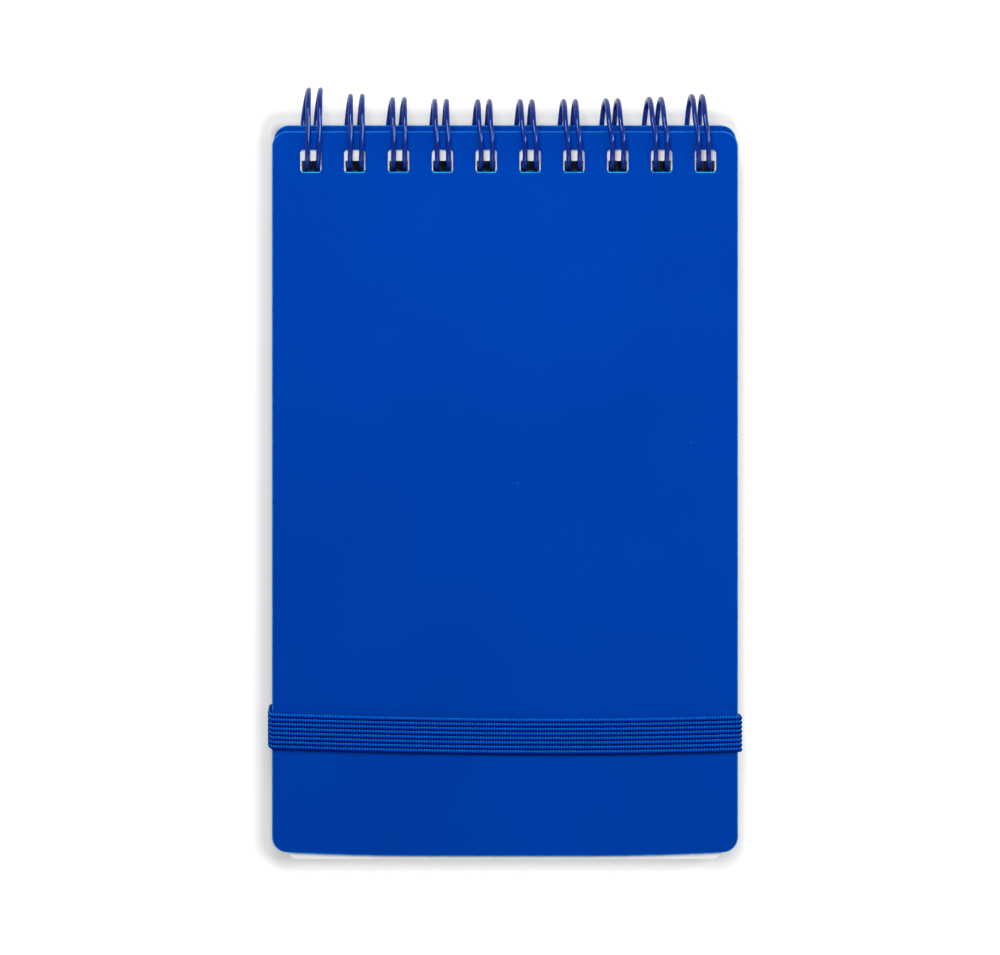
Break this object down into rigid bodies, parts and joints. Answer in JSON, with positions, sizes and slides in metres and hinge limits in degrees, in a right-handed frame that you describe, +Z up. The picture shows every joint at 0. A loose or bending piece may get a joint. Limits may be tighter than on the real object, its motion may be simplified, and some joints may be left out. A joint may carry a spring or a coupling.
{
  "type": "reporter notebook",
  "caption": "Pocket reporter notebook with two plastic covers, a twin-loop wire along the top edge and a ribbed elastic band that holds it shut.",
  "frame": {"origin": "centre of the bounding box at its base, the surface that the closed notebook lies on", "axes": "+Z up, out of the front cover; +Y along the covers, towards the wire; X across the covers"},
  "size_m": [0.0916, 0.1493, 0.0127],
  "materials": {
    "cover_plastic": "satin, slightly translucent",
    "paper": "matt paper",
    "wire_enamel": "gloss coating",
    "elastic": "ribbed woven elastic"
  },
  "bodies": {
    "block": {"sheets": "paper", "back_cover": "cover_plastic", "wire_binding": "wire_enamel", "elastic_band": "elastic"},
    "front_cover": {"front_cover": "cover_plastic"}
  },
  "joints": [
    {"name": "front_cover_hinge", "type": "hinge", "parent": "block", "child": "front_cover", "pos_m": [0, 0.06616, 0.00635], "axis": [-1, 0, 0], "range_deg": [0, 180], "deforming": ["elastic_band"]}
  ]
}
